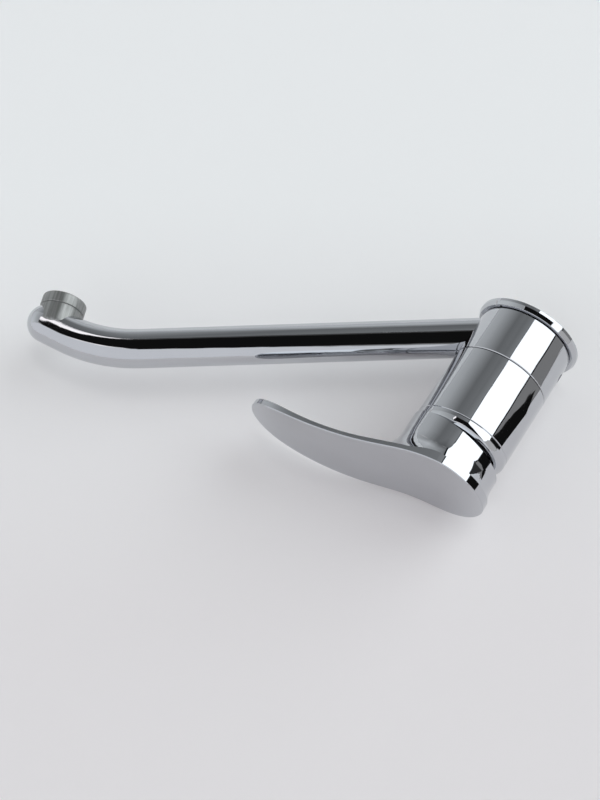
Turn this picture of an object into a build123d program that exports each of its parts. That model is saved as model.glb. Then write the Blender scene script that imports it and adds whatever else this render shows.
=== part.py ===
from build123d import *
import math
import os

# Single-lever kitchen tap with a low swivelling spout, in millimetres and degrees.
# +Z runs up the body, the origin is the centre of the base's mounting face,
# and at rest the spout and the lever both point along +X.

# Clearances
groove_gap = 0.4
seam_gap = 0.3
running_clearance = 0.08
thread_clearance = 0.05
flat_clearance = 0.1
swing_clearance = 0.33

# Fixed body and its base
body_radius = 25.0
base_ring_overhang = 2.6
base_ring_height = 3.9
base_ring_straight = 1.9
base_ring_lean = 28.0
base_ring_rounding = 0.4
gasket_inset = 3.1
gasket_width = 4.0
gasket_depth = 2.0
spigot_radius = 17.0
collar_height = 26.2
drum_height = 37.8
edge_break = 0.35

# Swivel joint of the spout, with rises measured from the collar's lower face
slide_ring_inset = 1.5
slide_ring_width = 3.9
slide_ring_recess = 1.0
seal_groove_depth = 2.0
seal_groove_width = 2.4
seal_lip_depth = 1.0
lower_seal_rise = 13.9
upper_seal_rise = 23.7
channel_rise = 16.0
channel_height = 5.0
channel_depth = 3.4
retaining_screw_rise = 9.7
retaining_screw_radius = 2.5
retaining_screw_recess = 0.5
retaining_groove_depth = 1.5
dog_point_radius = 1.7
dog_point_gap = 0.3
dog_shoulder_setback = 0.4
key_radius = 1.3
key_depth = 2.5

# Spout
spout_radius = 10.2
spout_wall = 1.3
spout_root_rise = 13.7
spout_socket_depth = 1.4
spout_rise = 34.3
spout_end_rise = 4.3
spout_bend_radius = 78.0
bend_corner_reach = 181.3
spout_end_length = 33.0
waterway_width = 12.0

# Outlet under the spout's nose, with heights measured from its mouth
outlet_setback = 5.7
outlet_tilt = 21.2
outlet_drop = 16.2
neck_radius = 11.4
neck_rounding = 2.0
neck_cover = 1.0
neck_bore_radius = 8.4
aerator_ring_radius = 11.7
aerator_ring_height = 6.2
aerator_ring_rounding = 0.8
aerator_thread_radius = 9.9
aerator_thread_length = 4.8
aerator_bore_radius = 8.9
aerator_lip = 1.0
washer_width = 2.9
washer_thickness = 0.9
straightener_height = 3.1
straightener_cell_radius = 1.2
straightener_cell_pitch = 2.9
strainer_skin = 1.4
strainer_dome_rise = 2.0
strainer_slot_width = 0.8
strainer_slot_length = 3.6
strainer_slots = 12

# Ports in the base and under the cartridge
inlet_forward = 3.0
inlet_side = 7.5
inlet_thread_radius = 4.5
inlet_thread_length = 14.0
inlet_bore_radius = 3.4
stud_hole_back = 8.5
stud_hole_radius = 3.4
stud_hole_depth = 12.0
outlet_port_back = 7.5
outlet_port_radius = 2.4
port_radius = 3.0

# Cartridge, from its seat up
cartridge_seat_rise = 10.2
cartridge_radius = 17.4
cartridge_base_thickness = 4.0
port_seal_width = 1.5
port_seal_depth = 1.6
fixed_disc_radius = 13.8
lug_width = 3.0
lug_length = 1.6
disc_thickness = 3.0
mixing_chamber_length = 5.0
mixing_chamber_width = 15.4
mixing_chamber_back = 3.0
mixing_chamber_rounding = 1.5
mixing_chamber_depth = 1.5
carrier_height = 6.0
foot_socket_clearance = 0.2
foot_socket_flare = 2.0
housing_wall = 2.4
housing_lip = 2.3
rotor_flange_height = 4.2
rotor_neck_radius = 12.2
rotor_neck_height = 8.9
rotor_slot_back = 8.4
rotor_slot_front = 6.8
pivot_rise = 2.4
pivot_pin_radius = 1.5
foot_drop = 9.5
foot_radius = 2.5
foot_neck_radius = 1.7
lift_angle = 25.0
stem_width = 8.0
stem_block_drop = 5.4
stem_rise = 26.3
stem_top_break = 0.8
nut_overhang = 1.55
nut_bore_radius = 13.0
nut_height = 8.0
nut_notch_width = 4.0
nut_notch_depth = 2.0
nut_notches = 4

# Domed cover over the cartridge nut
cover_height = 6.4
cover_straight = 2.0
cover_plate = 2.4
cover_hole_radius = 13.5

# Lever handle, with rises measured from the top of the fixed body
skirt_overhang = 0.6
skirt_front_rise = 2.8
skirt_rear_rise = 11.0
flare_start_rise = 14.6
flare_radius = 20.0
flare_end_slope = 17.5
head_top_rise = 27.7
head_overhang = 2.0
hub_radius = 7.5
hub_rise = 12.4
hub_clearance_above_stem = 0.2
grub_screw_rise = 15.6
grub_screw_radius = 2.5
grub_screw_length = 8.0
grub_boss_radius = 4.5
screw_cap_radius = 2.9
screw_cap_length = 4.5

# Lever blade in side view: a hollow curve, a straight rise and a crown that falls to the tip
lever_reach = 96.4
lever_bend_reach = 5.6
lever_hollow_radius = 95.0
lever_slope = 17.2
lever_crown_setback = 32.9
lever_crown_radius = 170.0
lever_tip_fall = 6.5
blade_thickness = 2.7
underside_slope = 17.5
underside_crown_setback = 40.6
underside_crown_radius = 130.0
underside_tip_fall = 3.0

# Lever blade seen from above, as half-widths
lever_waist_reach = 35.0
lever_waist_half_width = 24.9
lever_blade_setback = 27.0
lever_blade_half_width = 20.4
lever_tip_setback = 9.0
lever_tip_half_width = 14.8
lever_edge_break = 0.4

# Radii and heights that follow from the sizes above
base_ring_radius = body_radius + base_ring_overhang
collar_bore_radius = spigot_radius + running_clearance
collar_low = base_ring_height + groove_gap
collar_high = collar_low + collar_height
drum_low = collar_high + seam_gap
drum_high = drum_low + drum_height
seal_heights = [collar_low + lower_seal_rise, collar_low + upper_seal_rise]
channel_low = collar_low + channel_rise
channel_high = channel_low + channel_height
retaining_screw_height = collar_low + retaining_screw_rise
socket_radius = body_radius - spout_socket_depth
spout_root_height = collar_low + spout_root_rise
spout_climb = (bend_corner_reach - body_radius) * math.tan(math.radians(spout_rise))
bend_corner_height = spout_root_height + spout_climb
spout_end_reach = bend_corner_reach + spout_end_length
outlet_reach = spout_end_reach - outlet_setback
neck_high = outlet_drop + neck_cover
aerator_thread_top = aerator_ring_height + aerator_thread_length
washer_top = aerator_thread_top + washer_thickness
straightener_top = aerator_lip + straightener_height
port_places = [(inlet_forward, inlet_side), (inlet_forward, -inlet_side), (-outlet_port_back, 0)]
cartridge_seat_height = drum_low + cartridge_seat_rise
cartridge_base_top = cartridge_seat_height + cartridge_base_thickness
fixed_disc_top = cartridge_base_top + disc_thickness
moving_disc_low = fixed_disc_top + flat_clearance
carrier_low = moving_disc_low + disc_thickness
carrier_high = carrier_low + carrier_height
rotor_low = carrier_high + seam_gap
rotor_flange_top = rotor_low + rotor_flange_height
housing_bore_radius = cartridge_radius - housing_wall
housing_top = rotor_flange_top + running_clearance + housing_lip
disc_travel = foot_drop * math.sin(math.radians(lift_angle))
moving_disc_radius = housing_bore_radius - disc_travel - 2 * flat_clearance
pivot_height = rotor_flange_top + pivot_rise
foot_height = pivot_height - foot_drop
stem_top = pivot_height + stem_rise
nut_radius = cartridge_radius + nut_overhang
nut_top = housing_top + nut_height
cover_top = drum_high + cover_height
cover_rounding = cover_height - cover_straight
skirt_radius = body_radius + skirt_overhang
head_top_radius = skirt_radius + head_overhang
head_top_height = drum_high + head_top_rise
grub_screw_height = drum_high + grub_screw_rise
rounding_distance = math.hypot(body_radius - cover_rounding, drum_high + cover_straight - pivot_height)
swing_radius = rounding_distance + cover_rounding + swing_clearance
handle_ceiling = head_top_height + lever_reach


def turned(*corners):
    """Solid of revolution about Z. Each corner is a radius, a height and perhaps a rounding."""
    points = [(corner[0], corner[1]) for corner in corners]
    roundings = [corner[2] if len(corner) > 2 else 0 for corner in corners]
    outline = FilletPolyline(*points, radius=roundings, close=True)
    return revolve(make_face(Plane.XZ * outline), Axis.Z)


def lower_break(radius, height):
    """Two corners that ease an outer edge, at the lower end of a turned face."""
    return (radius - edge_break, height), (radius, height + edge_break)


def upper_break(radius, height):
    """Two corners that ease an outer edge, at the upper end of a turned face."""
    return (radius, height - edge_break), (radius - edge_break, height)


def ring(inner, outer, low, high):
    """Plain ring about Z."""
    return Pos(0, 0, low) * extrude(Circle(outer) - Circle(inner), amount=high - low)


def rod(radius, low, high, x=0.0, y=0.0):
    """Upright cylinder between two heights."""
    return Pos(x, y, low) * extrude(Circle(radius), amount=high - low)


def rod_along_x(radius, start, end, height):
    """Cylinder along X between two reaches."""
    plane = Plane(origin=(start, 0, height), z_dir=(1, 0, 0))
    return extrude(plane * Circle(radius), amount=end - start)


def rod_along_y(radius, half_length, height):
    """Cylinder along Y, centred on the symmetry plane."""
    plane = Plane(origin=(0, -half_length, height), z_dir=(0, 1, 0))
    return extrude(plane * Circle(radius), amount=2 * half_length)


def hexagon_key(face_reach, height, direction):
    """Hexagon socket that enters a grub screw's end face along X."""
    plane = Plane(origin=(face_reach, 0, height), z_dir=(direction, 0, 0))
    return extrude(plane * RegularPolygon(key_radius, 6), amount=key_depth)


# Base

def make_base_ring():
    inner = spigot_radius + thread_clearance
    lean_width = (base_ring_height - base_ring_straight) * math.tan(math.radians(base_ring_lean))
    shell = turned(
        (inner, 0),
        *lower_break(base_ring_radius, 0),
        (base_ring_radius, base_ring_straight),
        (base_ring_radius - lean_width, base_ring_height, base_ring_rounding),
        (inner, base_ring_height),
    )
    gasket_outer = base_ring_radius - gasket_inset
    return shell - ring(gasket_outer - gasket_width, gasket_outer, 0, gasket_depth)


def make_base_gasket():
    outer = base_ring_radius - gasket_inset - thread_clearance
    inner = outer - gasket_width + 2 * thread_clearance
    return ring(inner, outer, 0, gasket_depth)


# Fixed body: spigot, drum and cartridge chamber in one casting

def make_valve_body():
    body = turned(
        (0, 0),
        (spigot_radius, 0),
        (spigot_radius, drum_low),
        *lower_break(body_radius, drum_low),
        *upper_break(body_radius, drum_high),
        (0, drum_high),
    )
    body -= rod(cartridge_radius + flat_clearance, cartridge_seat_height, drum_high)
    body -= rod(nut_radius + thread_clearance, housing_top, drum_high)
    for height in seal_heights:
        low = height - seal_groove_width / 2
        body -= ring(spigot_radius - seal_groove_depth, body_radius, low, low + seal_groove_width)
    groove_half_width = dog_point_radius + flat_clearance
    body -= ring(
        spigot_radius - retaining_groove_depth,
        body_radius,
        retaining_screw_height - groove_half_width,
        retaining_screw_height + groove_half_width,
    )
    for side in (-inlet_side, inlet_side):
        body -= rod(inlet_thread_radius, 0, inlet_thread_length, inlet_forward, side)
        body -= rod(inlet_bore_radius, 0, cartridge_seat_height, inlet_forward, side)
    body -= rod(stud_hole_radius, 0, stud_hole_depth, -stud_hole_back)
    body -= rod(outlet_port_radius, channel_low, cartridge_seat_height, -outlet_port_back)
    channel_middle = (channel_low + channel_high) / 2
    body -= rod_along_x(outlet_port_radius, -body_radius, -outlet_port_back, channel_middle)
    return body


# Swivel joint between the spigot and the spout's collar

def make_slide_ring(low, high):
    inner = spigot_radius + slide_ring_inset
    return ring(inner, inner + slide_ring_width, low, high)


def make_spout_seal(height, turned_over):
    """Lip seal in its groove, with its V open towards the water channel."""
    inner = spigot_radius - seal_groove_depth + thread_clearance
    half_width = seal_groove_width / 2 - flat_clearance
    seal = turned(
        (inner, -half_width),
        (spigot_radius, -half_width),
        (spigot_radius, half_width),
        ((inner + spigot_radius) / 2, half_width - seal_lip_depth),
        (inner, half_width),
    )
    return Pos(0, 0, height) * Rot(turned_over, 0, 0) * seal


def make_swivel_collar():
    collar = turned(
        (collar_bore_radius, collar_low),
        *lower_break(body_radius, collar_low),
        *upper_break(body_radius, collar_high),
        (collar_bore_radius, collar_high),
    )
    recess_radius = spigot_radius + slide_ring_inset + slide_ring_width + flat_clearance
    for low in (collar_low, collar_high - slide_ring_recess):
        collar -= ring(collar_bore_radius, recess_radius, low, low + slide_ring_recess)
    channel_radius = collar_bore_radius + channel_depth
    collar -= ring(collar_bore_radius, channel_radius, channel_low, channel_high)
    collar -= spout_bar(spout_radius + thread_clearance) - rod(socket_radius, 0, drum_high)
    waterway = Box(
        body_radius - collar_bore_radius,
        waterway_width,
        channel_height,
        align=(Align.MIN, Align.CENTER, Align.MIN),
    )
    collar -= Pos(collar_bore_radius, 0, channel_low) * waterway
    collar -= rod_along_x(retaining_screw_radius, -body_radius, -spigot_radius, retaining_screw_height)
    return collar


def make_retaining_screw():
    """Grub screw at the back of the collar; its dog point rides in the spigot's groove."""
    head = -body_radius + retaining_screw_recess
    shoulder = -collar_bore_radius - dog_shoulder_setback
    tip = -spigot_radius + retaining_groove_depth - dog_point_gap
    screw = rod_along_x(retaining_screw_radius - thread_clearance, head, shoulder, retaining_screw_height)
    screw += rod_along_x(dog_point_radius, shoulder, tip, retaining_screw_height)
    return screw - hexagon_key(head, retaining_screw_height, 1)


# Spout

def spout_path():
    """Centre line in the symmetry plane: straight rise, one bend, short straight end."""
    start_reach = spigot_radius
    start_height = spout_root_height - (body_radius - start_reach) * math.tan(math.radians(spout_rise))
    end_height = bend_corner_height + spout_end_length * math.tan(math.radians(spout_end_rise))
    return Plane.XZ * FilletPolyline(
        (start_reach, start_height),
        (bend_corner_reach, bend_corner_height),
        (spout_end_reach, end_height),
        radius=spout_bend_radius,
    )


def spout_bar(radius):
    """Round bar along the centre line with a round nose."""
    path = spout_path()
    bar = sweep(Plane(origin=path @ 0, z_dir=path % 0) * Circle(radius), path=path)
    return bar + Plane(origin=path @ 1, z_dir=path % 1) * Sphere(radius)


def outlet_plane():
    """Plane in the outlet's mouth, with its Z up into the spout."""
    tilt = math.radians(outlet_tilt)
    centre_fall = (bend_corner_reach - outlet_reach) * math.tan(math.radians(spout_end_rise))
    mouth = (
        outlet_reach + outlet_drop * math.sin(tilt),
        0,
        bend_corner_height - centre_fall - outlet_drop * math.cos(tilt),
    )
    return Plane(origin=mouth, x_dir=(0, 1, 0), z_dir=(-math.sin(tilt), 0, math.cos(tilt)))


def neck_blank():
    """Outer form of the outlet's neck, up to the middle of the tube."""
    return outlet_plane() * turned(
        (0, aerator_ring_height),
        *lower_break(neck_radius, aerator_ring_height),
        (neck_radius, neck_high, neck_rounding),
        (0, neck_high),
    )


def make_spout_tube():
    wall = spout_bar(spout_radius) - spout_bar(spout_radius - spout_wall)
    below_neck = outlet_plane() * rod(neck_radius, 0, aerator_thread_top)
    return wall - rod(socket_radius, 0, drum_high) - neck_blank() - below_neck


def make_outlet_neck():
    """Boss that the tube's end sits in, threaded below for the aerator."""
    thread = rod(aerator_thread_radius + thread_clearance, aerator_ring_height, washer_top)
    bore = rod(neck_bore_radius, aerator_ring_height, neck_high)
    closed_below = outlet_plane() * rod(2 * neck_radius, 0, washer_top + spout_wall)
    waterway = spout_bar(spout_radius - spout_wall) - closed_below
    return neck_blank() - outlet_plane() * (thread + bore) - waterway


def make_aerator_housing():
    housing = turned(
        (aerator_bore_radius - aerator_lip, 0),
        (aerator_ring_radius, 0, aerator_ring_rounding),
        *upper_break(aerator_ring_radius, aerator_ring_height),
        (aerator_thread_radius, aerator_ring_height),
        (aerator_thread_radius, aerator_thread_top),
        (aerator_bore_radius, aerator_thread_top),
        (aerator_bore_radius, aerator_lip),
        (aerator_bore_radius - aerator_lip, aerator_lip),
    )
    return outlet_plane() * housing


def make_aerator_washer():
    inner = aerator_thread_radius - washer_width
    return outlet_plane() * ring(inner, aerator_thread_radius, aerator_thread_top, washer_top)


def make_flow_straightener():
    """Honeycomb disc: a middle cell and two hexagons of cells round it."""
    disc = rod(aerator_bore_radius - thread_clearance, aerator_lip, straightener_top)
    cell = RegularPolygon(straightener_cell_radius, 6, rotation=30)
    hole = Pos(0, 0, aerator_lip) * extrude(cell, amount=straightener_height)
    disc -= hole
    outer_pitch = 2 * straightener_cell_pitch
    for step in range(6):
        turn = Rot(0, 0, 60 * step)
        disc -= turn * Pos(straightener_cell_pitch, 0, 0) * hole
        disc -= turn * Pos(outer_pitch, 0, 0) * hole
        disc -= turn * Rot(0, 0, 30) * Pos(outer_pitch * math.cos(math.radians(30)), 0, 0) * hole
    return outlet_plane() * disc


def make_aerator_strainer():
    """Slotted dome that stands on the flow straightener and fills the housing's bore."""
    outer = aerator_bore_radius - thread_clearance
    inner = outer - strainer_skin
    strainer = turned(
        (inner, straightener_top),
        (outer, straightener_top),
        (outer, aerator_thread_top),
        (inner, aerator_thread_top),
        (0, aerator_thread_top - strainer_dome_rise),
        (0, aerator_thread_top - strainer_dome_rise - strainer_skin),
        (inner, aerator_thread_top - strainer_skin),
    )
    slot = Pos(inner / 2, 0, straightener_top) * Box(
        strainer_slot_length,
        strainer_slot_width,
        aerator_thread_top,
        align=(Align.CENTER, Align.CENTER, Align.MIN),
    )
    for step in range(strainer_slots):
        strainer -= Rot(0, 0, step * 360 / strainer_slots) * slot
    return outlet_plane() * strainer


# Cartridge, from its seat up

def locating_lugs(clearance):
    """Two lugs on the cartridge base that key the fixed ceramic disc."""
    side = fixed_disc_radius / 2
    lugs = Part()
    for direction in (-1, 1):
        lugs += Rot(0, 0, 90 * direction) * Pos(fixed_disc_radius, 0, cartridge_base_top) * Box(
            2 * (lug_length + clearance),
            lug_width + 2 * clearance,
            side,
            align=(Align.CENTER, Align.CENTER, Align.MIN),
        )
    return lugs & rod(fixed_disc_radius, cartridge_base_top, fixed_disc_top)


def make_cartridge_base():
    base = rod(cartridge_radius, cartridge_seat_height, cartridge_base_top) + locating_lugs(0)
    pocket_radius = port_radius + port_seal_width + flat_clearance
    for x, y in port_places:
        base -= rod(port_radius, cartridge_seat_height, cartridge_base_top, x, y)
        base -= rod(pocket_radius, cartridge_seat_height, cartridge_seat_height + port_seal_depth, x, y)
    return base


def make_port_seal(x, y):
    top = cartridge_seat_height + port_seal_depth
    return Pos(x, y, 0) * ring(port_radius, port_radius + port_seal_width, cartridge_seat_height, top)


def make_fixed_disc():
    disc = rod(fixed_disc_radius, cartridge_base_top, fixed_disc_top)
    for x, y in port_places:
        disc -= rod(port_radius, cartridge_base_top, fixed_disc_top, x, y)
    return disc - locating_lugs(flat_clearance)


def make_moving_disc():
    """Upper ceramic disc; its chamber joins both inlets to the outlet once the stem is lifted."""
    disc = rod(moving_disc_radius, moving_disc_low, carrier_low)
    mixing = Pos(-mixing_chamber_back, 0) * RectangleRounded(
        mixing_chamber_length, mixing_chamber_width, mixing_chamber_rounding
    )
    mixing += Pos(-outlet_port_back, 0) * Circle(port_radius)
    return disc - Pos(0, 0, moving_disc_low) * extrude(mixing, amount=mixing_chamber_depth)


def make_disc_carrier():
    """Plate on the moving disc; its flared socket takes the stem's foot."""
    socket_radius_low = foot_radius + foot_socket_clearance
    socket_low = foot_height - socket_radius_low
    socket = turned(
        (0, socket_low),
        (socket_radius_low, socket_low),
        (socket_radius_low, foot_height),
        (socket_radius_low + foot_socket_flare, carrier_high),
        (0, carrier_high),
    )
    return rod(moving_disc_radius, carrier_low, carrier_high) - socket


def make_cartridge_housing():
    lip_radius = rotor_neck_radius + running_clearance
    return turned(
        (housing_bore_radius, cartridge_base_top),
        (cartridge_radius, cartridge_base_top),
        (cartridge_radius, housing_top),
        (lip_radius, housing_top),
        (lip_radius, housing_top - housing_lip),
        (housing_bore_radius, housing_top - housing_lip),
    )


def make_stem_rotor():
    """Turning part of the cartridge: it carries the pivot pin and lets the stem tilt."""
    neck_top = rotor_flange_top + rotor_neck_height
    rotor = rod(housing_bore_radius - running_clearance, rotor_low, rotor_flange_top)
    rotor += rod(rotor_neck_radius, rotor_flange_top, neck_top)
    slot = Box(
        rotor_slot_back + rotor_slot_front,
        stem_width + 2 * flat_clearance,
        neck_top,
        align=(Align.MIN, Align.CENTER, Align.MIN),
    )
    rotor -= Pos(-rotor_slot_back, 0, 0) * slot
    return rotor - rod_along_y(pivot_pin_radius, rotor_neck_radius, pivot_height)


def make_pivot_pin():
    return rod_along_y(pivot_pin_radius, rotor_neck_radius - seam_gap, pivot_height)


def make_stem():
    """Square spindle with a ball foot below the pivot."""
    block_low = pivot_height - stem_block_drop
    stem = Pos(0, 0, block_low) * Box(
        stem_width,
        stem_width,
        stem_top - block_low,
        align=(Align.CENTER, Align.CENTER, Align.MIN),
    )
    stem = chamfer(stem.faces().sort_by(Axis.Z)[-1].edges(), stem_top_break)
    stem += rod(foot_neck_radius, foot_height, pivot_height)
    stem += Pos(0, 0, foot_height) * Sphere(foot_radius)
    return stem - rod_along_y(pivot_pin_radius + running_clearance, stem_width, pivot_height)


def make_cartridge_nut():
    nut = ring(nut_bore_radius, nut_radius, housing_top, nut_top)
    notch = Pos(nut_radius, 0, nut_top) * Box(nut_radius, nut_notch_width, 2 * nut_notch_depth)
    for step in range(nut_notches):
        nut -= Rot(0, 0, (step + 0.5) * 360 / nut_notches) * notch
    return nut


def make_domed_cover():
    thread = nut_radius + thread_clearance
    plate_low = cover_top - cover_plate
    return turned(
        (thread, drum_high),
        *lower_break(body_radius, drum_high),
        (body_radius, cover_top, cover_rounding),
        (cover_hole_radius, cover_top),
        (cover_hole_radius, plate_low),
        (thread, plate_low),
    )


# Lever handle

def lever_line(bend_height, slope, crown_setback, crown_radius, tip_fall):
    """Side view of the blade's top or underside, from behind the head to past the tip."""
    crown_reach = lever_reach - crown_setback
    crown_height = bend_height + (crown_reach - lever_bend_reach) * math.tan(math.radians(slope))
    end_reach = lever_reach + crown_setback
    end_height = crown_height - (end_reach - crown_reach) * math.tan(math.radians(tip_fall))
    return FilletPolyline(
        (-2 * head_top_radius, bend_height),
        (lever_bend_reach, bend_height),
        (crown_reach, crown_height),
        (end_reach, end_height),
        radius=[lever_hollow_radius, crown_radius],
    )


def below_line(line):
    """Everything below a side-view line, across the handle's full width."""
    start = line @ 0
    end = line @ 1
    sides = Polyline(end, (end.X, 0), (start.X, 0), start)
    return extrude(make_face(Plane.XZ * (line + sides)), amount=2 * head_top_radius, both=True)


def leaf_prism():
    """Plan of the handle: a round back end that runs into a leaf with a blunt point."""
    edge = Spline(
        (0, head_top_radius),
        (lever_waist_reach, lever_waist_half_width),
        (lever_reach - lever_blade_setback, lever_blade_half_width),
        (lever_reach - lever_tip_setback, lever_tip_half_width),
        (lever_reach, 0),
        tangents=[(1, 0), (0, -1)],
    )
    back = CenterArc((0, 0), head_top_radius, 90, 180)
    return extrude(make_face(back + edge + mirror(edge, Plane.XZ)), amount=handle_ceiling)


def head_form():
    """Head that widens upwards in a hollow curve, which runs out under the lever."""
    flare_centre = (skirt_radius + flare_radius, drum_high + flare_start_rise)
    flare = CenterArc(flare_centre, flare_radius, 180, flare_end_slope - 90)
    rim = flare @ 1 + Vector(lever_reach, lever_reach * math.tan(math.radians(flare_end_slope)))
    sides = Polyline(
        flare @ 1,
        rim,
        (rim.X, handle_ceiling),
        (0, handle_ceiling),
        (0, drum_high),
        (skirt_radius, drum_high),
        flare @ 0,
    )
    return revolve(make_face(Plane.XZ * (flare + sides)), Axis.Z)


def below_skirt():
    """Everything under the skirt's oblique lower edge."""
    slope = (skirt_rear_rise - skirt_front_rise) / (2 * skirt_radius)
    middle_height = drum_high + (skirt_front_rise + skirt_rear_rise) / 2
    size = 4 * lever_reach
    block = Box(size, size, size, align=(Align.CENTER, Align.CENTER, Align.MAX))
    return Plane(origin=(0, 0, middle_height), z_dir=(slope, 0, 1)) * block


def make_handle():
    top_line = lever_line(
        head_top_height, lever_slope, lever_crown_setback, lever_crown_radius, lever_tip_fall
    )
    underside_line = lever_line(
        head_top_height - blade_thickness,
        underside_slope,
        underside_crown_setback,
        underside_crown_radius,
        underside_tip_fall,
    )
    plan = leaf_prism()
    blank = plan & below_line(top_line)
    curved_edges = blank.edges().filter_by(GeomType.LINE, reverse=True)
    rim = [edge for edge in curved_edges if edge.center().Z > drum_high]
    blank = chamfer(rim, lever_edge_break)
    handle = blank & (head_form() + (plan - below_line(underside_line)))
    handle -= below_skirt()
    handle -= Pos(0, 0, pivot_height) * Sphere(swing_radius)
    handle += rod(hub_radius, drum_high + hub_rise, stem_top)
    handle += rod_along_x(grub_boss_radius, 0, skirt_radius - grub_boss_radius, grub_screw_height)
    socket_width = stem_width + 2 * thread_clearance
    handle -= Box(
        socket_width,
        socket_width,
        stem_top + hub_clearance_above_stem,
        align=(Align.CENTER, Align.CENTER, Align.MIN),
    )
    cap_seat = skirt_radius - screw_cap_length
    handle -= rod_along_x(grub_screw_radius, 0, cap_seat, grub_screw_height)
    handle -= rod_along_x(screw_cap_radius, cap_seat, lever_reach, grub_screw_height)
    return handle


def make_handle_screw():
    start = stem_width / 2 + thread_clearance
    end = start + grub_screw_length
    screw = rod_along_x(grub_screw_radius - thread_clearance, start, end, grub_screw_height)
    return screw - hexagon_key(end, grub_screw_height, -1)


def make_screw_cap():
    """Plug over the grub screw, its face following the head."""
    cap_seat = skirt_radius - screw_cap_length
    plug = rod_along_x(screw_cap_radius - thread_clearance, cap_seat, lever_reach, grub_screw_height)
    return plug & rod(skirt_radius, 0, handle_ceiling)


lower_ring_top = collar_low + slide_ring_recess - flat_clearance
upper_ring_low = collar_high - slide_ring_recess + flat_clearance

nodes = {
    "base_ring": make_base_ring(),
    "base_gasket": make_base_gasket(),
    "valve_body": make_valve_body(),
    "lower_slide_ring": make_slide_ring(base_ring_height, lower_ring_top),
    "upper_slide_ring": make_slide_ring(upper_ring_low, drum_low),
    "lower_spout_seal": make_spout_seal(seal_heights[0], 0),
    "upper_spout_seal": make_spout_seal(seal_heights[1], 180),
    "swivel_collar": make_swivel_collar(),
    "spout_retaining_screw": make_retaining_screw(),
    "spout_tube": make_spout_tube(),
    "outlet_neck": make_outlet_neck(),
    "aerator_housing": make_aerator_housing(),
    "aerator_washer": make_aerator_washer(),
    "flow_straightener": make_flow_straightener(),
    "aerator_strainer": make_aerator_strainer(),
    "cartridge_base": make_cartridge_base(),
    "hot_port_seal": make_port_seal(*port_places[0]),
    "cold_port_seal": make_port_seal(*port_places[1]),
    "outlet_port_seal": make_port_seal(*port_places[2]),
    "fixed_ceramic_disc": make_fixed_disc(),
    "moving_ceramic_disc": make_moving_disc(),
    "disc_carrier": make_disc_carrier(),
    "cartridge_housing": make_cartridge_housing(),
    "stem_rotor": make_stem_rotor(),
    "pivot_pin": make_pivot_pin(),
    "cartridge_stem": make_stem(),
    "cartridge_nut": make_cartridge_nut(),
    "domed_cover": make_domed_cover(),
    "lever_handle": make_handle(),
    "handle_grub_screw": make_handle_screw(),
    "screw_cap": make_screw_cap(),
}

os.makedirs("parts", exist_ok=True)
for name, shape in nodes.items():
    export_step(shape, f"parts/{name}.step")
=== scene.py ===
import bpy
import math
from mathutils import Matrix, Vector

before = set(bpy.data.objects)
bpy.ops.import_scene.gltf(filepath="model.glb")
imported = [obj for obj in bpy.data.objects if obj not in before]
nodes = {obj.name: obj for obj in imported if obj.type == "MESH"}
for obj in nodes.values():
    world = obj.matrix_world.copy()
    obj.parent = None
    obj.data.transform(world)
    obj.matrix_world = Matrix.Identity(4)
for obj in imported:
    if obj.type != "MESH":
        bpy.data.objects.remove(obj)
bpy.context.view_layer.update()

# Camera: upright pictures of the tap lying on its side, seen from above
focal_length_mm = 54.0
sensor_mm = 36.0
camera_place = Vector((-0.081933, -0.541027, 0.301220))
camera_right = Vector((-0.83509, 0.03672, -0.54888))
camera_up = Vector((0.48115, -0.43493, -0.76114))
camera_back = Vector((-0.26667, -0.89972, 0.34553))

# The table that the tap lies on is an upright plane in the tap's own frame, and its up is -Y
table_y = 0.0285
table_half_size = 0.75
table_paper = (0.82, 0.825, 0.83)
table_roughness = 0.8
table_specular = 0.1

# The table top also glows a little, from one tone near the camera to another far from it: painted light falloff,
# dimmer and pinker near the camera.
# The change runs between these two places along the camera's up, in metres.
table_glow_near = (0.47, 0.36, 0.38)
table_glow_far = (0.76, 0.80, 0.81)
table_glow_start = -0.14
table_glow_end = 0.08
table_glow_strength = 0.22

# Dark patches on the table stand this far above it
table_patch_lift = 0.0003

# Studio panels stand this far off. Their corners are angles from straight above the table,
# along +X and along +Z, in degrees.
studio_distance = 12.0
studio_centre = Vector((0.0, 0.0, 0.05))

# Where two panels overlap, the nearer one is seen
step_behind = -0.1
step_rim = 0.05
step_frame = 0.1
step_corner = 0.12
step_strip = 0.15
step_ceiling = 0.5

# Brightness of the world, the panels and the cards
tent_level = 0.62
backdrop_level = 0.9
softbox_level = 2.0
ceiling_level = 4.6
streak_level = 1.7
pale_level = 0.9
grey_level = 0.28
gap_level = 0.07
shade_level = 0.04
card_level = 0.008

white = (1.0, 1.0, 1.0)
cool = (0.94, 0.98, 1.0)
warm = (1.0, 0.96, 0.96)
bluish = (0.96, 0.98, 1.02)

# Surface tints
chrome_tint = (0.565, 0.575, 0.60)
chrome_tint_worn = (0.54, 0.55, 0.575)
satin_light = (0.37, 0.375, 0.37)
satin_dark = (0.22, 0.225, 0.22)
rubber_black = (0.012, 0.012, 0.013)
rubber_bloom = (0.035, 0.035, 0.037)
ceramic_white = (0.88, 0.87, 0.83)
ceramic_speckle = (0.80, 0.79, 0.74)
brass_light = (0.74, 0.56, 0.27)

# How much duller a surface gets where it is stained, and how much shinier where it is handled
metal_stain_dulling = 0.12
plastic_stain_dulling = 0.1
plastic_handling_shine = 0.05


def overhead_direction(along_x, along_z):
    """Direction of a point of the studio, from its two angles away from straight above."""
    angle = math.hypot(along_x, along_z)
    turn = math.atan2(along_z, along_x)
    level = math.sin(math.radians(angle))
    return Vector((level * math.cos(turn), -math.cos(math.radians(angle)), level * math.sin(turn)))


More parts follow.
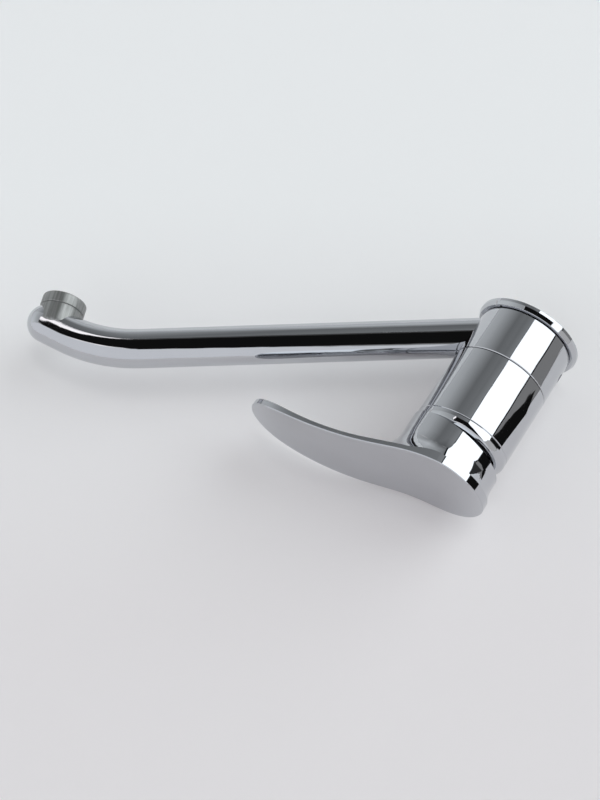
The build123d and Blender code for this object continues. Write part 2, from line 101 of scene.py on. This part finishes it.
def emission(name, colour, level=None):
    """Plain emission. Without a level its strength comes from the levels stored at the mesh's corners."""
    material = bpy.data.materials.new(name)
    material.use_nodes = True
    tree = material.node_tree
    tree.nodes.clear()
    light = tree.nodes.new("ShaderNodeEmission")
    light.inputs["Color"].default_value = (*colour, 1)
    if level is None:
        corner_level = tree.nodes.new("ShaderNodeAttribute")
        corner_level.attribute_name = "level"
        tree.links.new(corner_level.outputs["Fac"], light.inputs["Strength"])
    else:
        light.inputs["Strength"].default_value = level
    out = tree.nodes.new("ShaderNodeOutputMaterial")
    tree.links.new(light.outputs[0], out.inputs["Surface"])
    return material


def stage_mesh(name, points, faces, material):
    """Piece of the studio that the camera itself doesn't see."""
    mesh = bpy.data.meshes.new(name)
    mesh.from_pydata(points, [], faces)
    mesh.materials.append(material)
    piece = bpy.data.objects.new(name, mesh)
    bpy.context.scene.collection.objects.link(piece)
    piece.visible_camera = False
    return piece


def studio_panel(name, corners, level, colour=white, nearer=0.0):
    """Evenly bright panel with its corners at these angles."""
    distance = studio_distance - nearer
    points = [studio_centre + distance * overhead_direction(*corner) for corner in corners]
    return stage_mesh(name, points, [tuple(range(len(points)))], emission(name, colour, level))


def graded_wall(name, columns, rows, levels, colour=white, nearer=0.0):
    """Wall whose brightness changes smoothly between its corners: one row of levels for each row angle."""
    distance = studio_distance - nearer
    points = [studio_centre + distance * overhead_direction(column, row) for row in rows for column in columns]
    wide = len(columns)
    faces = [(r * wide + c, r * wide + c + 1, (r + 1) * wide + c + 1, (r + 1) * wide + c)
             for r in range(len(rows) - 1) for c in range(wide - 1)]
    wall = stage_mesh(name, points, faces, emission(name, colour))
    attribute = wall.data.attributes.new("level", "FLOAT", "POINT")
    for index, value in enumerate(value for row in levels for value in row):
        attribute.data[index].value = value


def table_patch(name, corners, level):
    """Flat emitting patch on the table that only reflections see: it neither lights the tap nor casts shadow. Its
    corners are places along X and Z, in metres.
    """
    points = [(x, table_y - table_patch_lift, z) for x, z in corners]
    card = stage_mesh(name, points, [tuple(range(len(points)))], emission(name, white, level))
    card.visible_diffuse = False
    card.visible_shadow = False


def make_camera():
    data = bpy.data.cameras.new("camera")
    data.sensor_width = sensor_mm
    data.lens = focal_length_mm
    camera = bpy.data.objects.new("camera", data)
    axes = Matrix((camera_right, camera_up, camera_back)).transposed()
    camera.matrix_world = Matrix.Translation(camera_place) @ axes.to_4x4()
    bpy.context.scene.collection.objects.link(camera)
    bpy.context.scene.camera = camera


def make_table():
    """Pale table top. From behind it lets the view through, so the tap shows from every side."""
    mesh = bpy.data.meshes.new("table_top")
    size = table_half_size
    corners = [(-size, table_y, -size), (size, table_y, -size), (size, table_y, size), (-size, table_y, size)]
    mesh.from_pydata(corners, [], [(0, 1, 2, 3)])
    table = bpy.data.objects.new("table_top", mesh)
    bpy.context.scene.collection.objects.link(table)
    material, tree, paper = new_material("table_top")
    paper.inputs["Base Color"].default_value = (*table_paper, 1)
    paper.inputs["Roughness"].default_value = table_roughness
    paper.inputs["Specular IOR Level"].default_value = table_specular

    place = tree.nodes.new("ShaderNodeTexCoord")
    depth = tree.nodes.new("ShaderNodeVectorMath")
    depth.operation = "DOT_PRODUCT"
    depth.inputs[1].default_value = camera_up
    tree.links.new(place.outputs["Object"], depth.inputs[0])
    tone = tree.nodes.new("ShaderNodeValToRGB")
    spread = tree.nodes.new("ShaderNodeMapRange")
    spread.inputs["From Min"].default_value = table_glow_start
    spread.inputs["From Max"].default_value = table_glow_end
    tree.links.new(depth.outputs["Value"], spread.inputs["Value"])
    tree.links.new(spread.outputs["Result"], tone.inputs["Fac"])
    tone.color_ramp.elements[0].color = (*table_glow_near, 1)
    tone.color_ramp.elements[1].color = (*table_glow_far, 1)
    # Painted light falloff: the glow is dimmer and pinker near the camera
    glow = tree.nodes.new("ShaderNodeEmission")
    glow.inputs["Strength"].default_value = table_glow_strength
    tree.links.new(tone.outputs["Color"], glow.inputs["Color"])
    seen = tree.nodes.new("ShaderNodeAddShader")
    tree.links.new(paper.outputs[0], seen.inputs[0])
    tree.links.new(glow.outputs[0], seen.inputs[1])

    side = tree.nodes.new("ShaderNodeNewGeometry")
    clear = tree.nodes.new("ShaderNodeBsdfTransparent")
    mix = tree.nodes.new("ShaderNodeMixShader")
    tree.links.new(side.outputs["Backfacing"], mix.inputs["Fac"])
    tree.links.new(seen.outputs[0], mix.inputs[1])
    tree.links.new(clear.outputs[0], mix.inputs[2])
    tree.links.new(mix.outputs[0], tree.nodes["Material Output"].inputs["Surface"])
    mesh.materials.append(material)


def make_world():
    """Even light from all round, and a pale backdrop where the camera sees past the table."""
    world = bpy.data.worlds.new("studio")
    bpy.context.scene.world = world
    world.use_nodes = True
    tree = world.node_tree
    tree.nodes.clear()
    tent = tree.nodes.new("ShaderNodeBackground")
    tent.inputs["Color"].default_value = (*white, 1)
    tent.inputs["Strength"].default_value = tent_level
    backdrop = tree.nodes.new("ShaderNodeBackground")
    backdrop.inputs["Color"].default_value = (*white, 1)
    backdrop.inputs["Strength"].default_value = backdrop_level
    path = tree.nodes.new("ShaderNodeLightPath")
    mix = tree.nodes.new("ShaderNodeMixShader")
    out = tree.nodes.new("ShaderNodeOutputWorld")
    tree.links.new(path.outputs["Is Camera Ray"], mix.inputs["Fac"])
    tree.links.new(tent.outputs[0], mix.inputs[1])
    tree.links.new(backdrop.outputs[0], mix.inputs[2])
    tree.links.new(mix.outputs[0], out.inputs["Surface"])


# Materials

def new_material(name):
    material = bpy.data.materials.new(name)
    material.use_nodes = True
    tree = material.node_tree
    return material, tree, tree.nodes["Principled BSDF"]


def noise(tree, per_metre, detail=4.0, stretch=(1.0, 1.0, 1.0), turn=(0.0, 0.0, 0.0)):
    """Noise fixed to the piece, with its grain stretched along the axes of a turned frame."""
    place = tree.nodes.new("ShaderNodeTexCoord")
    frame_turn = tree.nodes.new("ShaderNodeMapping")
    frame_turn.inputs["Rotation"].default_value = turn
    grain = tree.nodes.new("ShaderNodeMapping")
    grain.inputs["Scale"].default_value = stretch
    texture = tree.nodes.new("ShaderNodeTexNoise")
    texture.inputs["Scale"].default_value = per_metre
    texture.inputs["Detail"].default_value = detail
    tree.links.new(place.outputs["Object"], frame_turn.inputs["Vector"])
    tree.links.new(frame_turn.outputs["Vector"], grain.inputs["Vector"])
    tree.links.new(grain.outputs["Vector"], texture.inputs["Vector"])
    return texture.outputs["Fac"]


def between(tree, factor, low, high, start=0.3, end=0.7):
    """Value that runs from low to high as the factor runs from start to end."""
    spread = tree.nodes.new("ShaderNodeMapRange")
    spread.interpolation_type = "SMOOTHSTEP"
    spread.inputs["From Min"].default_value = start
    spread.inputs["From Max"].default_value = end
    spread.inputs["To Min"].default_value = low
    spread.inputs["To Max"].default_value = high
    tree.links.new(factor, spread.inputs["Value"])
    return spread.outputs["Result"]


def tint_between(tree, factor, first, second, start=0.3, end=0.7):
    """Colour that runs from the first to the second as the factor runs from start to end."""
    ramp = tree.nodes.new("ShaderNodeValToRGB")
    ramp.color_ramp.elements[0].position = start
    ramp.color_ramp.elements[0].color = (*first, 1)
    ramp.color_ramp.elements[1].position = end
    ramp.color_ramp.elements[1].color = (*second, 1)
    tree.links.new(factor, ramp.inputs["Fac"])
    return ramp.outputs["Color"]


def set_from(tree, bsdf, socket, value):
    tree.links.new(value, bsdf.inputs[socket])


def add_bump(tree, bsdf, heights, depth_m):
    """Bump of this depth, on top of the bumps that are there already."""
    bump = tree.nodes.new("ShaderNodeBump")
    bump.inputs["Distance"].default_value = depth_m
    bump.inputs["Strength"].default_value = 1.0
    tree.links.new(heights, bump.inputs["Height"])
    previous = bsdf.inputs["Normal"].links
    if previous:
        tree.links.new(previous[0].from_socket, bump.inputs["Normal"])
    tree.links.new(bump.outputs["Normal"], bsdf.inputs["Normal"])


def polished_chrome(name):
    """Bright plating with faint smudges, dried water marks, hairline scratches and a cast waviness."""
    material, tree, bsdf = new_material(name)
    bsdf.inputs["Metallic"].default_value = 1
    smudge = noise(tree, per_metre=38, detail=5.0)
    set_from(tree, bsdf, "Base Color", tint_between(tree, smudge, chrome_tint_worn, chrome_tint))
    set_from(tree, bsdf, "Roughness", between(tree, smudge, low=0.055, high=0.02))
    waviness = noise(tree, per_metre=55, detail=1.0)
    add_bump(tree, bsdf, waviness, depth_m=0.00012)
    hairlines = noise(tree, per_metre=900, detail=2.0, stretch=(1.0, 0.04, 0.04), turn=(0.4, 0.7, 0.2))
    scratches = between(tree, hairlines, low=0.0, high=1.0, start=0.62, end=0.8)
    add_bump(tree, bsdf, scratches, depth_m=0.0000012)
    return material


def satin_chrome(name, ring_turn):
    """Dull plating with fine streaks along one axis and turning marks round it. The streaks' bump is real grain;
    their light and dark base colour is a painted reflection of the brushing.
    """
    material, tree, bsdf = new_material(name)
    bsdf.inputs["Metallic"].default_value = 1
    marks = noise(tree, per_metre=60, detail=3.0, stretch=(1.0, 1.0, 40.0), turn=ring_turn)
    streaks = noise(tree, per_metre=900, detail=3.0, stretch=(1.0, 1.0, 0.05), turn=ring_turn)
    # Painted reflection streaks: the base colour runs between dark and light along the streaks
    set_from(tree, bsdf, "Base Color", tint_between(tree, streaks, satin_dark, satin_light))
    stain = noise(tree, per_metre=90, detail=4.0)
    set_from(tree, bsdf, "Roughness", between(tree, stain, low=0.38, high=0.5))
    add_bump(tree, bsdf, marks, depth_m=0.00003)
    add_bump(tree, bsdf, streaks, depth_m=0.00004)
    return material


def turned_metal(name, light, dark, roughness, ring_turn):
    """Machined metal: turning marks round one axis, with dull stains."""
    material, tree, bsdf = new_material(name)
    bsdf.inputs["Metallic"].default_value = 1
    stain = noise(tree, per_metre=160, detail=5.0)
    set_from(tree, bsdf, "Base Color", tint_between(tree, stain, dark, light))
    set_from(tree, bsdf, "Roughness", between(tree, stain, low=roughness + metal_stain_dulling, high=roughness))
    marks = noise(tree, per_metre=90, detail=2.0, stretch=(1.0, 1.0, 50.0), turn=ring_turn)
    add_bump(tree, bsdf, marks, depth_m=0.00004)
    return material


def moulded_plastic(name, colour, shade, roughness):
    """Moulded plastic with fine grain, slight flow marks and handling shine."""
    material, tree, bsdf = new_material(name)
    flow = noise(tree, per_metre=70, detail=3.0)
    set_from(tree, bsdf, "Base Color", tint_between(tree, flow, shade, colour))
    set_from(tree, bsdf, "Roughness", between(tree, flow, low=roughness + plastic_stain_dulling,
                                              high=roughness - plastic_handling_shine))
    grain = noise(tree, per_metre=2600, detail=3.0)
    add_bump(tree, bsdf, grain, depth_m=0.00002)
    return material


def black_rubber(name):
    """Sealing rubber: matt, with a dusty bloom and a fine moulded grain."""
    material, tree, bsdf = new_material(name)
    bloom = noise(tree, per_metre=130, detail=5.0)
    set_from(tree, bsdf, "Base Color", tint_between(tree, bloom, rubber_black, rubber_bloom))
    set_from(tree, bsdf, "Roughness", between(tree, bloom, low=0.55, high=0.8))
    add_bump(tree, bsdf, noise(tree, per_metre=3200, detail=4.0), depth_m=0.00003)
    return material


def lapped_ceramic(name):
    """White alumina, ground flat: faint speckle and a half-dull lapped face."""
    material, tree, bsdf = new_material(name)
    speckle = noise(tree, per_metre=2400, detail=2.0)
    tint = tint_between(tree, speckle, ceramic_speckle, ceramic_white, start=0.35, end=0.5)
    set_from(tree, bsdf, "Base Color", tint)
    lapping = noise(tree, per_metre=120, detail=3.0)
    set_from(tree, bsdf, "Roughness", between(tree, lapping, low=0.18, high=0.32))
    add_bump(tree, bsdf, speckle, depth_m=0.000004)
    return material


def dress(names, material):
    for name in names:
        nodes[name].data.materials.clear()
        nodes[name].data.materials.append(material)


make_camera()
make_world()
make_table()

# Edges that two panels share
softbox_right_edge = [(-4, -20), (-3.2, -24), (-1.6, -30), (2.5, -45), (2.5, -78)]
card_near_edge = [(-50, 44), (-36, 28), (-26, 12), (-15, -3), (-4.5, -16)]
card_far_edge = [(-24, 38), (-16, 37), (-8, 31.5), (0, 28), (9, 28), (16, 30.5), (24, 36.5)]
black_grey_edge = [(-66.5, -31.3), (-74.8, -35.8), (-81.5, -40.4), (-90, -45)]
grey_shade_edge = [(-62, -40), (-72, -44), (-84, -49)]

# Main softbox, with the dark lines of its frame. Its lower half lights only the reflections.
studio_panel("softbox", [(-60.5, -28.5), (-62, -20), *softbox_right_edge, (-44, -80), (-53, -52), (-55, -36)],
             softbox_level, cool)
softbox_low = studio_panel("softbox_low", [(-62, -20), (-58, 0), *card_near_edge, (-4, -20)], softbox_level, cool)
softbox_low.visible_diffuse = False
studio_panel("softbox_frame_right", [
    (-4.5, -16), *softbox_right_edge, (5.5, -78), (5, -45), (0.2, -30), (-1.4, -24), (-2, -16),
], card_level, nearer=step_frame)
studio_panel("softbox_frame_left", [(-60.5, -28.5), (-63, -29.7), (-58, -37), (-55, -36)], card_level,
             nearer=step_frame)

# Ceiling light, hidden from reflections behind the camera
ceiling = studio_panel("ceiling_light", [(-13, -13), (13, -13), (13, 13), (-13, 13)], ceiling_level,
                       nearer=step_ceiling)
ceiling.visible_glossy = False

# Black card behind the camera, round the zenith, with bright gaps at its rim
studio_panel("camera_card", [
    *reversed(card_near_edge), *card_far_edge, (27, 38), (27, 12), (26, 0), (26, -12), (27, -20), (20, -15),
    (10, -16),
], card_level)
studio_panel("rim_streak", [
    (-42, 43), *card_far_edge, (24, 39), (16, 34), (8, 31), (0, 31), (-8, 35), (-16, 40), (-24, 41), (-42, 46),
], streak_level, warm, nearer=step_rim)
studio_panel("side_strip", [
    (24.6, 22), (24.3, 8), (24.2, -5), (24.6, -12), (26, -19.5), (29.8, -19.5), (29.8, -12), (30, 0), (30, 22),
], streak_level, warm, nearer=step_strip)
studio_panel("low_streak", [(-1, -16.5), (9, -17), (11, -20.4), (2, -20.2)], streak_level, nearer=step_rim)

# Grey and pale sides of the room
studio_panel("dark_gap", [(-4, -14), (27, -14), (27, -19.5), (-4, -19.5)], gap_level, nearer=step_behind)
graded_wall("grey_wall", (-2, 12, 30, 62, 85), (-19.5, -48), (
    (0.36, 0.26, 0.21, 0.58, 0.62),
    (0.20, 0.16, 0.20, 0.52, 0.66)), cool)
graded_wall("low_wall", (-2, 22, 40, 85), (-48, -64, -86), (
    (0.20, 0.17, 0.32, 0.66),
    (0.20, 0.45, 0.74, 0.72),
    (0.30, 0.50, 0.60, 0.52)), cool)
graded_wall("end_wall", (27, 60, 85), (38, -19.5), (
    (0.50, 0.85, 0.90),
    (0.40, 0.70, 0.75)), cool)
studio_panel("pale_wall", [
    (-50, 44), (-24, 38), (-8, 31.5), (0, 28), (9, 28), (16, 30.5), (24, 36.5), (27, 38), (85, 38), (74, 60),
    (30, 90), (-30, 90), (-65, 62),
], pale_level, bluish, nearer=step_behind)
graded_wall("low_corner", (-46, -20), (37, 57), (
    (0.05, 0.35),
    (0.78, 0.90)), nearer=step_corner)
studio_panel("left_black", [(-60.5, -28.5), *black_grey_edge, (-95, -20), (-62, -18)], card_level)
studio_panel("left_grey", [
    (-60.5, -28.5), (-55, -36), *grey_shade_edge, *reversed(black_grey_edge),
], grey_level)
studio_panel("left_dark", [
    (-55, -36), (-53, -52), (-44, -80), (-62, -80), (-90, -52), *reversed(grey_shade_edge),
], shade_level)

# Dark emitting patches on the table beyond the picture's right edge, seen only in reflections
table_patch("black_table_patch", [
    (-0.108, 0.0), (-0.136, -0.001), (-0.207, -0.013), (-0.312, -0.046), (-0.52, -0.11), (-0.75, -0.181),
    (-0.75, -0.323), (-0.52, -0.214), (-0.33, -0.124), (-0.145, -0.023),
], card_level)
table_patch("grey_table_patch", [
    (-0.127, -0.026), (-0.145, -0.023), (-0.33, -0.124), (-0.52, -0.214), (-0.75, -0.323), (-0.75, -0.55),
    (-0.52, -0.38), (-0.326, -0.16), (-0.267, -0.134), (-0.173, -0.055),
], grey_level)

# Turns that bring an axis of the tap to Z, for marks that run round that axis
quarter = math.pi / 2
outlet_tilt = math.radians(21.2)
round_z = (0.0, 0.0, 0.0)
round_x = (0.0, quarter, 0.0)
round_y = (quarter, 0.0, 0.0)
round_outlet = (0.0, outlet_tilt, 0.0)

# Chrome: each large piece has its own plating
for node, part in (("base_ring", "base"), ("valve_body", "body"), ("swivel_collar", "collar"),
                   ("spout_tube", "spout"), ("domed_cover", "cover"), ("lever_handle", "lever")):
    dress([node], polished_chrome("chrome_" + part))
dress(["outlet_neck", "aerator_housing"], satin_chrome("chrome_satin", round_outlet))

# Rubber, plastic and ceramic
dress(["base_gasket", "lower_spout_seal", "upper_spout_seal", "hot_port_seal", "cold_port_seal",
       "outlet_port_seal", "aerator_washer"], black_rubber("black_rubber"))
dress(["lower_slide_ring", "upper_slide_ring"],
      moulded_plastic("white_plastic", colour=(0.82, 0.82, 0.79), shade=(0.76, 0.75, 0.71), roughness=0.45))
dress(["flow_straightener", "aerator_strainer"],
      moulded_plastic("grey_plastic", colour=(0.52, 0.53, 0.55), shade=(0.45, 0.46, 0.48), roughness=0.5))
dress(["cartridge_base", "cartridge_housing", "disc_carrier", "stem_rotor"],
      moulded_plastic("cartridge_plastic", colour=(0.72, 0.73, 0.75), shade=(0.64, 0.65, 0.68), roughness=0.3))
dress(["screw_cap"],
      moulded_plastic("cap_plastic", colour=(0.42, 0.43, 0.45), shade=(0.35, 0.36, 0.38), roughness=0.3))
dress(["fixed_ceramic_disc", "moving_ceramic_disc"], lapped_ceramic("alumina"))

# Steel and brass
dress(["spout_retaining_screw", "handle_grub_screw"],
      turned_metal("screw_steel", light=(0.30, 0.30, 0.31), dark=(0.16, 0.16, 0.17), roughness=0.28,
                   ring_turn=round_x))
dress(["pivot_pin"],
      turned_metal("pin_steel", light=(0.42, 0.42, 0.43), dark=(0.30, 0.30, 0.31), roughness=0.2,
                   ring_turn=round_y))
dress(["cartridge_stem"],
      turned_metal("stem_brass", light=brass_light, dark=(0.55, 0.38, 0.17), roughness=0.25, ring_turn=round_z))
dress(["cartridge_nut"],
      turned_metal("nut_brass", light=brass_light, dark=(0.58, 0.42, 0.20), roughness=0.25, ring_turn=round_z))

bpy.context.scene.view_settings.view_transform = "Standard"
